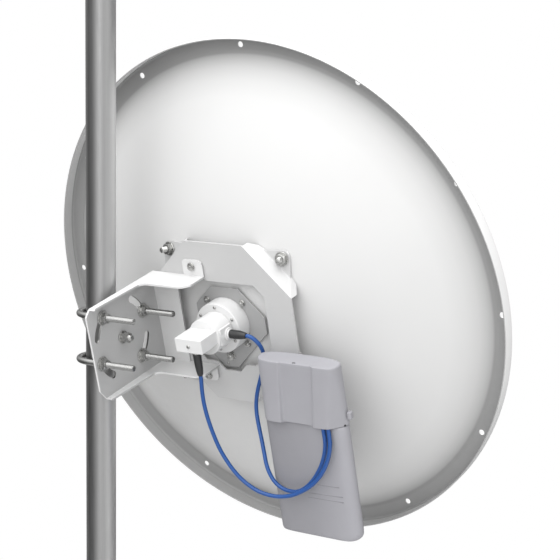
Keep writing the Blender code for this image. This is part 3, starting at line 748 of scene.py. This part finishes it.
def plate_corner(c, fold):
    """Corner along +n: from its fold at c down to the dish, then along it as a rounded tab."""
    foot_u = max(c + 0.005, 0.108)
    foot_b = TAB_B + PLATE_T - SLOPE * (foot_u - TAB_U)
    end_b = TAB_B + PLATE_T - SLOPE * (TAB_END - TAB_U)
    side = [(c - 0.003, A_FACE), (c, A_FACE), (foot_u, foot_b), (TAB_END, end_b),
            (TAB_END, end_b - PLATE_T), (foot_u - PLATE_T, foot_b - PLATE_T),
            (c - PLATE_T, A_FACE - PLATE_T), (c - 0.003, A_FACE - PLATE_T)]
    side = soften(side, (0, 0.0025, 0.0025, 0, 0, 0.001, 0.001, 0), 6)
    foot = fold - math.hypot(foot_u - c, A_FACE - foot_b)
    plan = [(c - 0.004, -fold), (c, -fold), (foot_u, -foot), (foot_u + foot, 0), (foot_u, foot), (c, fold),
            (c - 0.004, fold)]
    plan = soften(plan, (0, 0, 0.003, 0.012, 0.003, 0, 0), 8)
    return combine(prism(side, -0.07, 0.07, "y"), prism(plan, 0.05, 0.15), "INTERSECT")


outline = [(-0.0454, PLATE_V), (0.0454, PLATE_V), (PLATE_N, 0.0462), (PLATE_N, -0.0285), (0.0300, -0.1080),
           (-0.0300, -0.1080), (-PLATE_N, -0.0285), (-PLATE_N, 0.0462)]
raised = prism(outline, A_FACE - PLATE_T, A_FACE)
for sn, sv, c, fold in ((1, 1, 0.1100, 0.0453), (-1, 1, 0.1100, 0.0453),
                        (1, -1, 0.0975, 0.0561), (-1, -1, 0.0975, 0.0561)):
    corner = plate_corner(c, fold)
    bmesh.ops.transform(corner, verts=corner.verts, matrix=Matrix.Rotation(math.atan2(sv, sn), 4, "Z"))
    raised = combine(raised, corner, "UNION")
opening = [(-0.0544, 0.058), (0.0544, 0.058), (0.0689, 0.0436), (0.0685, -0.0249), (0.0395, -0.0545),
           (0.0245, -0.0550), (0.0143, -0.0655), (-0.0107, -0.0655), (-0.0228, -0.0548), (-0.0395, -0.0548),
           (-0.0685, -0.0249), (-0.0689, 0.0436)]
raised = combine(raised, prism(soften(opening, 0.0025), 0.10, 0.14), "DIFFERENCE")
# the slope of the upper right corner takes the lighter bracket coat: a painted highlight
lit_slope = DISH.to_3x3() @ Vector((0.68, 0.68, 0.25)).normalized()
repaint(on_dish("raised_plate_sheet", raised, M_PLATE, ("raised_plate",), bevel=0.0005), M_BRACKET,
        lambda face: face.normal.dot(lit_slope) > 0.93)


def bolt_end(node, place, nut_r, nut_t, stud, stud_r, turn, lean=0.0):
    """Washer, nut and the end of its bolt, standing on a plate of the dish."""
    n, v, b = place
    pitch = 0.0010 if stud_r > 0.003 else 0.0007
    pieces = [washer(nut_r * 1.18, stud_r, 0, 0.0013),
              hexagon(nut_r * 0.97, 0.0013, nut_t, turn, stud_r * 0.99), thread(stud_r, 0.0005, stud, pitch)]
    tilt = Matrix.Rotation(lean, 4, Vector((-v, n, 0)).normalized()) if lean else Matrix()
    on_dish(node + "_zinc", join(*pieces), M_ZINC, (node,), Matrix.Translation((n, v, b)) @ tilt)


lean = math.atan(SLOPE)
bolt_b = TAB_B + PLATE_T * math.cos(lean) + 0.0008
for tag, sn, sv, stud, turn in (("tl", -1, 1, 0.0145, 0.1), ("tr", 1, 1, 0.0125, 0.6),
                                ("bl", -1, -1, 0.0125, 0.3), ("br", 1, -1, 0.0125, 0.9)):
    bolt_end("plate_bolt_" + tag, (sn * 0.088, sv * 0.088, bolt_b), 0.0078, 0.0062, stud, 0.0038, turn, lean)

# feed plate, its bolts and the feed
DRUM_R, DRUM_B = 0.034, 0.135
BODY_R, BODY_B = 0.0237, 0.165
BLOCK_LOW, BLOCK_B = 0.160, 0.199
feed_outline = [(-0.0464, 0.0214), (-0.0200, 0.0470), (0.0228, 0.0475), (0.0588, 0.0115), (0.0590, -0.0105),
                (0.0050, -0.0648), (-0.0163, -0.0645), (-0.0470, -0.0340)]
# the feed plate's darker grey is painted shade under the feed
plate = prism(soften(feed_outline, 0.002), BOWL_DEPTH + GAP, BOWL_DEPTH + PLATE_T)
plate = combine(plate, passage(), "DIFFERENCE")
on_dish("feed_plate_sheet", plate, M_FEED_PLATE_SHADED, ("feed_plate",), bevel=0.0005)
for tag, n, v, turn in (("a", -0.0275, 0.0288, 0.0), ("b", 0.0275, 0.0288, 0.4), ("c", 0.0275, -0.0275, 0.8)):
    bolt_end("feed_bolt_" + tag, (n, v, B_FACE), 0.0038, 0.0033, 0.0046, 0.0020, turn)
bolt_end("feed_bolt_d", (-0.0029, -0.0479, B_FACE), 0.0056, 0.0042, 0.0062, 0.0028, 0.5)


def pan_head(r, h):
    """Small cross-recess screw head: domed disc with two crossed slots."""
    dome = lathe([(0, -0.0005), (r, -0.0005), (r, h * 0.35), (r * 0.92, h * 0.65), (r * 0.72, h * 0.88),
                  (r * 0.4, h), (0, h)], 32)
    for k in (0, 1):
        cut = box((-r * 0.62, -r * 0.13, h * 0.35), (r * 0.62, r * 0.13, h * 1.5))
        bmesh.ops.transform(cut, verts=cut.verts, matrix=Matrix.Rotation(math.pi / 2 * k + 0.5, 4, "Z"))
        dome = combine(dome, cut, "DIFFERENCE")
    return dome


def screw_on(name, place, r, h, turn=0.0):
    """Screw head on a face of the dish's frame."""
    on_dish(name, pan_head(r, h), M_ZINC, (), Matrix.Translation(place) @ Matrix.Rotation(turn, 4, "Z"))


screw_on("feed_plate_screw", (-0.0099, -0.0591, B_FACE - GAP), 0.0016, 0.0012)
drum = lathe([(0, B_FACE), (DRUM_R, B_FACE), (DRUM_R, DRUM_B - 0.0015), (DRUM_R - 0.0003, DRUM_B - 0.0006),
              (DRUM_R - 0.001, DRUM_B), (0, DRUM_B)], 128)
on_dish("feed_drum_shell", drum, M_FEED, ("feed_drum",))
SCREW_CIRCLE = 0.0287
for k, degrees in enumerate((90, 31, -30, -91, 147, -150)):
    a = math.radians(degrees)
    screw_on("drum_screw_%d" % (k + 1), (SCREW_CIRCLE * math.cos(a), SCREW_CIRCLE * math.sin(a), DRUM_B),
             0.0022, 0.0017, 0.7 * k)
tube = lathe([(0, DRUM_B + GAP), (BODY_R, DRUM_B + GAP), (BODY_R, BODY_B - 0.0014),
              (BODY_R - 0.0004, BODY_B - 0.0004), (BODY_R - 0.0013, BODY_B), (0, BODY_B)], 96)
on_dish("feed_body_shell", tube, M_FEED, ("feed_body",))
block = soften([(-0.0203, -0.0068), (0.0203, -0.0068), (0.0203, 0.0117), (-0.0203, 0.0117)], 0.0010)
on_dish("feed_block", prism(block, BLOCK_LOW, BLOCK_B), M_FEED, bevel=0.0006)
pad = soften([(0.010, -0.011), (0.0235, -0.011), (0.0235, 0.011), (0.010, 0.011)], 0.0006)
on_dish("feed_side_pad", prism(pad, 0.1375, 0.1610), M_FEED, bevel=0.0008)
screw_on("feed_block_screw", (0.0, 0.0018, BLOCK_B), 0.0026, 0.0016)
horn = lathe([(0, B_FACE - 2 * GAP), (0.022, B_FACE - 2 * GAP), (0.022, -0.058), (0.0225, -0.061),
              (0.0370, -0.0845), (0.0380, -0.0870), (0.0380, -0.0938), (0.0372, -0.0950), (0, -0.0950)], 96)
on_dish("feed_tube_shell", horn, M_FEED, ("feed_tube",))

# the two sockets with their rubber boots, the side one ribbed
side_at = Matrix.Translation((0.0235 + GAP, 0, 0.1455)) @ TO_X
socket = lathe([(0, 0), (0.0085, 0), (0.0085, 0.0014), (0.0079, 0.0020), (0.0066, 0.0020), (0.0066, 0.0034),
                (0.0060, 0.0040), (0, 0.0040)], 64)
on_dish("side_socket", socket, M_FEED, (), side_at)
boot = [(0, 0.0035), (0.0055, 0.0035), (0.0058, 0.0042)]
boot += [(0.0058 - 0.0004 * (k % 2) - 0.00001 * k, 0.0048 + 0.0008 * k) for k in range(18)]
boot += [(0.0052, 0.0200), (0.0046, 0.0230), (0.0040, 0.0262), (0.0034, 0.0274), (0, 0.0275)]
on_dish("side_boot", lathe(boot, 64), M_BLACK, ("side_connector",), side_at, sharp=50)
down_at = Matrix.Translation((0, -0.0068 - GAP, 0.185)) @ Matrix.Rotation(math.pi / 2, 4, "X")
flange_ring = lathe([(0, 0), (0.0066, 0), (0.0066, 0.0010), (0, 0.0010)], 64)
nut_ring = lathe([(0, 0.0010), (0.0074, 0.0010), (0.0078, 0.0014), (0.0078, 0.0032), (0.0074, 0.0036),
                  (0, 0.0036)], 64)
neck_ring = lathe([(0, 0.0036), (0.0060, 0.0036), (0.0060, 0.0054), (0, 0.0054)], 64)
on_dish("bottom_collar", join(flange_ring, nut_ring, neck_ring), M_ZINC, (), down_at)
boot = [(0, 0.0052), (0.0050, 0.0052), (0.0054, 0.0056), (0.0054, 0.0100), (0.0052, 0.0180), (0.0048, 0.0260),
        (0.0044, 0.0310), (0.0036, 0.0350), (0.0031, 0.0364), (0, 0.0365)]
on_dish("bottom_boot", lathe(boot, 64), M_BLACK, ("bottom_connector",), down_at, sharp=50)

# bracket: one folded sheet with rounded bends
BR_FRONT = A_FACE + GAP
BEND = 0.0012
FAR_N, FAR_B = 0.02, 0.30


def channel(shrink, bend):
    """Block whose faces are the channel's outer or inner skin, open to the right and to the back."""
    n0, v0, v1, bb = WEB_N + shrink, BR_BOTTOM + shrink, BR_TOP - shrink, BR_FRONT + shrink
    bm = prism([(n0, v0), (FAR_N, v0), (FAR_N, v1), (n0, v1)], bb, FAR_B)
    folds = [e for e in bm.edges if all(abs(v.co.x - n0) < 1e-7 for v in e.verts)
             and abs(e.verts[0].co.y - e.verts[1].co.y) < 1e-7]
    bmesh.ops.bevel(bm, geom=folds, offset=bend, segments=6, profile=0.5, affect="EDGES")
    return bm


shell = combine(channel(0.0, BEND + PLATE_T), channel(PLATE_T, BEND), "DIFFERENCE")
# the flanges' outline seen along v, and the web's seen along n
flange = soften([(WEB_N - 0.01, BR_FRONT - 0.01), (-0.0190, BR_FRONT - 0.01), (-0.0190, 0.1505),
                 (-0.0291, 0.1615), (-0.0904, 0.1615), (-0.0955, 0.2490), (-0.0960, 0.2700),
                 (WEB_N - 0.01, 0.2700)], (0, 0, 0.008, 0.012, 0.010, 0.003, 0, 0))
shell = combine(shell, prism(flange, -0.2, 0.2, "y"), "INTERSECT")
web = soften([(-0.0463, 0.2594), (0.0549, 0.2594), (BR_TOP + 0.0002, 0.2490),
              (BR_TOP + 0.0002, BR_FRONT - 0.01), (BR_BOTTOM - 0.0002, BR_FRONT - 0.01),
              (BR_BOTTOM - 0.0002, 0.2490)], (0.003, 0.003, 0.002, 0, 0, 0.002))
shell = combine(shell, prism(web, -0.2, 0.2, "x"), "INTERSECT")
# the back plate ends short of the feed drum
room = box((-0.0645, BR_BOTTOM + PLATE_T + 0.0001, BR_FRONT - 0.01),
           (0.05, BR_TOP - PLATE_T - 0.0001, BR_FRONT + PLATE_T + 0.004))
shell = combine(shell, room, "DIFFERENCE")
top_tab = soften([(-0.0190, BR_TOP - PLATE_T), (-0.0190, 0.0860), (-0.0506, 0.0860),
                  (-0.0506, BR_TOP - PLATE_T)], (0, 0.009, 0.006, 0))
low_tab = soften([(-0.0215, BR_BOTTOM + PLATE_T), (-0.0506, BR_BOTTOM + PLATE_T), (-0.0506, -0.0825),
                  (-0.0215, -0.0825)], (0, 0, 0.006, 0.009))
for tab in (top_tab, low_tab):
    shell = combine(shell, prism(tab, BR_FRONT, BR_FRONT + PLATE_T), "UNION")


def arc_slot(a0, a1, r, w, steps=20):
    """Outline of a slot of half width w along an arc, with round ends."""
    def ring(radius, angle):
        return Vector((radius * math.cos(angle), radius * math.sin(angle)))
    pts = [ring(r + w, a0 + (a1 - a0) * k / steps) for k in range(steps + 1)]
    pts += [ring(r, a1) + ring(w, a1 + math.pi * k / 10) for k in range(1, 10)]
    pts += [ring(r - w, a1 - (a1 - a0) * k / steps) for k in range(steps + 1)]
    pts += [ring(r, a0) + ring(w, a0 + math.pi + math.pi * k / 10) for k in range(1, 10)]
    return pts


# the four curved slots for the rods and the pivot's hole, cut through the web in the world's frame
SLOT_W, SLOT_BEFORE, SLOT_AFTER = ROD_R + 0.0008, math.radians(5.5), math.radians(33.0)
bmesh.ops.transform(shell, verts=shell.verts, matrix=DISH)
cuts = []
for sy, sz in ((-1, 1), (1, 1), (-1, -1), (1, -1)):
    a = math.atan2(sz * LEG_Z, sy * LEG_Y)
    slot = arc_slot(a - SLOT_BEFORE, a + SLOT_AFTER, SLOT_R, SLOT_W)
    cuts.append(prism([(p.x, PIVOT_Z + p.y) for p in slot], WEB_X - 0.01, WEB_X + 0.01, "x"))
cuts.append(rod((WEB_X - 0.01, 0, PIVOT_Z), (WEB_X + 0.01, 0, PIVOT_Z), ROD_R + GAP))
shell = combine(shell, join(*cuts), "DIFFERENCE")
bmesh.ops.transform(shell, verts=shell.verts, matrix=DISH.inverted())


def on_web_face(face):
    return face.normal.x > 0.9 and face.center.x > WEB_X - 0.001


def on_slot_wall(face):
    near_pivot = math.hypot(face.center.y, face.center.z - PIVOT_Z) < SLOT_R + ROD_R + 0.002
    return abs(face.normal.x) < 0.7 and abs(face.center.x - WEB_X) < 0.002 and near_pivot


bracket = on_dish("bracket_sheet", shell, M_BRACKET, ("bracket",), bevel=0.0005)
# the web's inner faces take the darker grey: painted shade inside the channel
repaint(bracket, M_WEB_SHADED, on_web_face)
# the slots' walls take the dark zinc: painted shade in the slots
repaint(bracket, M_ZINC_DARK, on_slot_wall)
for tag, v in (("top", 0.0768), ("bottom", -0.0756)):
    bolt_end("tab_screw_" + tag, (-0.0365, v, BR_FRONT + PLATE_T + GAP), 0.0048, 0.0032, 0.0040, 0.0022, 0.3)

# radio box: the cap's outline (n, b) at its top and at its lower edge, with the two raised panels
CAP_TOP_ROW = [
    (.0735, .1560), (.0760, .1630), (.0830, .1682), (.0912, .1698), (.1000, .1708), (.1100, .1714),
    (.1122, .1714), (.1134, .1697), (.1160, .1694), (.1350, .1695), (.1570, .1693), (.1606, .1693),
    (.1613, .1713), (.1640, .1716), (.1720, .1712), (.1810, .1704), (.1850, .1694), (.1880, .1675),
    (.1905, .1640), (.1922, .1590), (.1922, .1510), (.1880, .1462), (.1723, .1412), (.1450, .1397),
    (.0999, .1402), (.0780, .1440), (.0728, .1500)]
CAP_LOW_ROW = [
    (.0722, .1560), (.0752, .1640), (.0800, .1700), (.0850, .1730), (.0945, .1738), (.1036, .1737),
    (.1052, .1728), (.1067, .1690), (.1095, .1684), (.1300, .1686), (.1480, .1687), (.1511, .1690),
    (.1519, .1728), (.1545, .1738), (.1640, .1737), (.1735, .1730), (.1770, .1700), (.1815, .1655),
    (.1875, .1600), (.1915, .1545), (.1922, .1500), (.1890, .1455), (.1790, .1408), (.1456, .1397),
    (.0999, .1402), (.0780, .1432), (.0722, .1485)]
CAP_TOP, CAP_LOW = -0.0181, -0.1000
CAP_MIDDLE = Vector((0.132, 0.155))


def cap_ring(v, s, share=1.0):
    """Ring at height v: the outline at share s of the cap's height, drawn in toward the middle by share."""
    ring = []
    for top, low in zip(CAP_TOP_ROW, CAP_LOW_ROW):
        p = CAP_MIDDLE.lerp(Vector(top).lerp(Vector(low), s), share)
        ring.append((p.x, v, p.y))
    return ring


cap_rows = [cap_ring(CAP_TOP, 0.0, 0.35), cap_ring(CAP_TOP, 0.0, 0.80),
            cap_ring(CAP_TOP + 0.0001, 0.0, 0.945), cap_ring(CAP_TOP - 0.0003, 0.0, 0.985),
            cap_ring(-0.0200, 0.0), cap_ring(-0.0220, 0.03), cap_ring(-0.040, 0.28), cap_ring(-0.060, 0.52),
            cap_ring(-0.080, 0.77), cap_ring(-0.0950, 0.95), cap_ring(-0.0990, 1.0), cap_ring(-0.0999, 1.0),
            cap_ring(CAP_LOW, 1.0, 0.985), cap_ring(CAP_LOW + 0.0002, 1.0, 0.96),
            cap_ring(CAP_LOW + 0.0002, 1.0, 0.40)]
cap = subdivided(loft(cap_rows), 2)
on_dish("radio_cap_shell", cap, M_RADIO, ("radio_cap",), sharp=60)
# a dimple on the cap's top and two small holes in its right side, all near-black: painted shade in them
dimple = lathe([(0, -0.0004), (0.0021, -0.0004), (0.0021, 0.0001), (0.0017, 0.0004), (0.0013, 0.0001),
                (0, -0.0001)], 40)
on_dish("cap_top_dimple", dimple, M_HOLE_SHADE, (),
        Matrix.Translation((0.1330, CAP_TOP, 0.1665)) @ Matrix.Rotation(-math.pi / 2, 4, "X")
        @ Matrix.Diagonal((1.25, 0.75, 1, 1)))
for tag, n, v, b in (("a", 0.1893, -0.0990, 0.1572), ("b", 0.1905, -0.0960, 0.1530)):
    pin = rod((0, 0, -0.0006), (0, 0, 0.0006), 0.0013, 24, 0.0002)
    on_dish("cap_hole_" + tag, pin, M_HOLE_SHADE, (),
            Matrix.Translation((n, v, b)) @ Matrix.Rotation(math.radians(52), 4, "Y"))

# the radio's lower body: its outline (n, b), narrowed at the bottom by two corner radii
BODY_ROW = [
    (.0715, .1520), (.0722, .1585), (.0755, .1632), (.0830, .1652), (.1000, .1655), (.1300, .1655),
    (.1600, .1656), (.1720, .1655), (.1830, .1640), (.1890, .1595), (.1915, .1530), (.1900, .1465),
    (.1840, .1425), (.1700, .1415), (.1300, .1415), (.0950, .1415), (.0790, .1425), (.0730, .1465)]
BODY_TOP, BODY_LOW = -0.1003, -0.2622
BODY_LEFT, BODY_RIGHT, BODY_MIDDLE_B = 0.0715, 0.1915, 0.1535
LEFT_R, RIGHT_R = 0.0045, 0.0110


def drawn_in(height, r):
    """How far a corner of radius r draws the side in, at a height over the bottom."""
    return r - math.sqrt(max(0.0, r ** 2 - (r - min(height, r)) ** 2))


def body_ring(v, share_b=1.0):
    """Ring at height v, its depth narrowed by share_b."""
    height = v - BODY_LOW
    left = BODY_LEFT + drawn_in(height, LEFT_R)
    right = BODY_RIGHT - drawn_in(height, RIGHT_R)
    out = []
    for n, b in BODY_ROW:
        u = (n - BODY_LEFT) / (BODY_RIGHT - BODY_LEFT)
        out.append((left + (right - left) * u, v, BODY_MIDDLE_B + (b - BODY_MIDDLE_B) * share_b))
    return out


def end_ring(ring, v, middle_n, share_n, share_b):
    """Small inner ring of an end face, which keeps the face flat under subdivision."""
    return [(middle_n + (n - middle_n) * share_n, v, BODY_MIDDLE_B + (b - BODY_MIDDLE_B) * share_b)
            for n, _, b in ring]


body_rows = [end_ring(body_ring(BODY_TOP), BODY_TOP, 0.13, 0.6, 0.5), body_ring(BODY_TOP), body_ring(-0.1010),
             body_ring(-0.14), body_ring(-0.18), body_ring(-0.22), body_ring(BODY_LOW + 0.0150),
             body_ring(BODY_LOW + 0.0080), body_ring(BODY_LOW + 0.0040, 0.995),
             body_ring(BODY_LOW + 0.0017, 0.96), body_ring(BODY_LOW + 0.0006, 0.88),
             body_ring(BODY_LOW + 0.0001, 0.70),
             end_ring(body_ring(BODY_LOW + 0.0001), BODY_LOW, 0.13, 0.55, 0.30)]
body = subdivided(loft(body_rows), 2)
on_dish("radio_body_shell", body, M_RADIO_BODY, ("radio_body",), sharp=60)
LINE_B, LINE_R = 0.1652, 0.00055
for tag, n0, v0, n1, v1 in (("a", 0.1402, -0.1850, 0.1734, -0.1840), ("b", 0.1264, -0.1990, 0.1766, -0.1970),
                            ("c", 0.1241, -0.2056, 0.1767, -0.2044)):
    on_dish("radio_line_" + tag, rod((n0, v0, LINE_B), (n1, v1, LINE_B), LINE_R, 12), M_RADIO_LINE)

latch = box((0.1926, -0.0915, 0.1485), (0.1982, -0.0815, 0.1560))
on_dish("radio_latch", latch, M_RADIO, ("radio_knob",), bevel=0.0015, segments=3)
carrier = [(0.0800, -0.0760), (0.1060, -0.0760), (0.1060, -0.0340), (0.0800, -0.0340)]
on_dish("radio_mount_block", prism(soften(carrier, 0.004), A_FACE + GAP, 0.1395 - GAP), M_RADIO,
        ("radio_mount",), bevel=0.0008)

# floor: a pale disc that fades out into the white studio
FLOOR_R = 0.95
floor = bmesh.new()
bmesh.ops.create_circle(floor, cap_ends=True, segments=96, radius=FLOOR_R)
mesh = bpy.data.meshes.new("floor")
floor.to_mesh(mesh)
floor.free()
ground = bpy.data.objects.new("floor", mesh)
bpy.context.scene.collection.objects.link(ground)
pale = principled("floor_pale", (0.5, 0.5, 0.5), 0.0, 0.9)
pale.link(pale.ramp(pale.noise(2.0), [(0.3, (0.48, 0.48, 0.48)), (0.7, (0.52, 0.52, 0.52))]), "Base Color")
reach = pale.vector_math("LENGTH", pale.coord).outputs["Value"]
pale.link(pale.ramp(reach, [(0.30, (1, 1, 1)), (FLOOR_R - 0.03, (0, 0, 0))]), "Alpha")
mesh.materials.append(pale.mat)

# soft studio light: broad soft boxes in the world's colour, and plain white behind the object
SHARPNESS = 7
AMBIENT = 0.1
SOFT_BOXES = {
    "ceiling": ((0.0, 0.0, 1.0), 3.6),
    "ceiling toward the camera": ((0.0, -0.6, 0.8), 2.8),
    "upper left": ((-0.7, -0.1, 0.7), 1.6),
    "left of the camera": ((-0.4, -0.8, 0.4), 1.1),
    "at the camera": ((0.4, -0.9, 0.2), 2.6),
    "right wall": ((0.95, 0.0, 0.2), 0.8),
    "left wall": ((-0.9, 0.4, 0.2), 0.3),
    "back wall": ((0.2, 0.95, 0.2), 0.3),
    "floor on the right": ((0.75, 0.0, -0.65), 1.7),
    "floor in front": ((0.1, -0.6, -0.8), 1.1),
    "floor behind": ((0.2, 0.4, -0.9), 0.6),
}
world = bpy.data.worlds.new("studio")
bpy.context.scene.world = world
world.use_nodes = True
tree = world.node_tree
ray = tree.nodes.new("ShaderNodeTexCoord").outputs["Generated"]


def math_node(kind, a, b):
    node = tree.nodes.new("ShaderNodeMath")
    node.operation = kind
    for socket, value in zip(node.inputs, (a, b)):
        if isinstance(value, bpy.types.NodeSocket):
            tree.links.new(value, socket)
        else:
            socket.default_value = value
    return node.outputs["Value"]


total = AMBIENT
for direction, strength in SOFT_BOXES.values():
    dot = tree.nodes.new("ShaderNodeVectorMath")
    dot.operation = "DOT_PRODUCT"
    tree.links.new(ray, dot.inputs[0])
    dot.inputs[1].default_value = Vector(direction).normalized()
    glow = math_node("POWER", math_node("MAXIMUM", dot.outputs["Value"], 0.0), SHARPNESS)
    total = math_node("ADD", math_node("MULTIPLY", glow, strength), total)
light = tree.nodes["Background"]
tree.links.new(total, light.inputs["Strength"])
behind = tree.nodes.new("ShaderNodeBackground")
behind.inputs["Strength"].default_value = 1.0
mix = tree.nodes.new("ShaderNodeMixShader")
tree.links.new(tree.nodes.new("ShaderNodeLightPath").outputs["Is Camera Ray"], mix.inputs["Fac"])
tree.links.new(light.outputs["Background"], mix.inputs[1])
tree.links.new(behind.outputs["Background"], mix.inputs[2])
tree.links.new(mix.outputs["Shader"], tree.nodes["World Output"].inputs["Surface"])
light.inputs["Color"].default_value = (1, 1, 1, 1)
behind.inputs["Color"].default_value = (1, 1, 1, 1)
bpy.context.scene.view_settings.view_transform = "Standard"
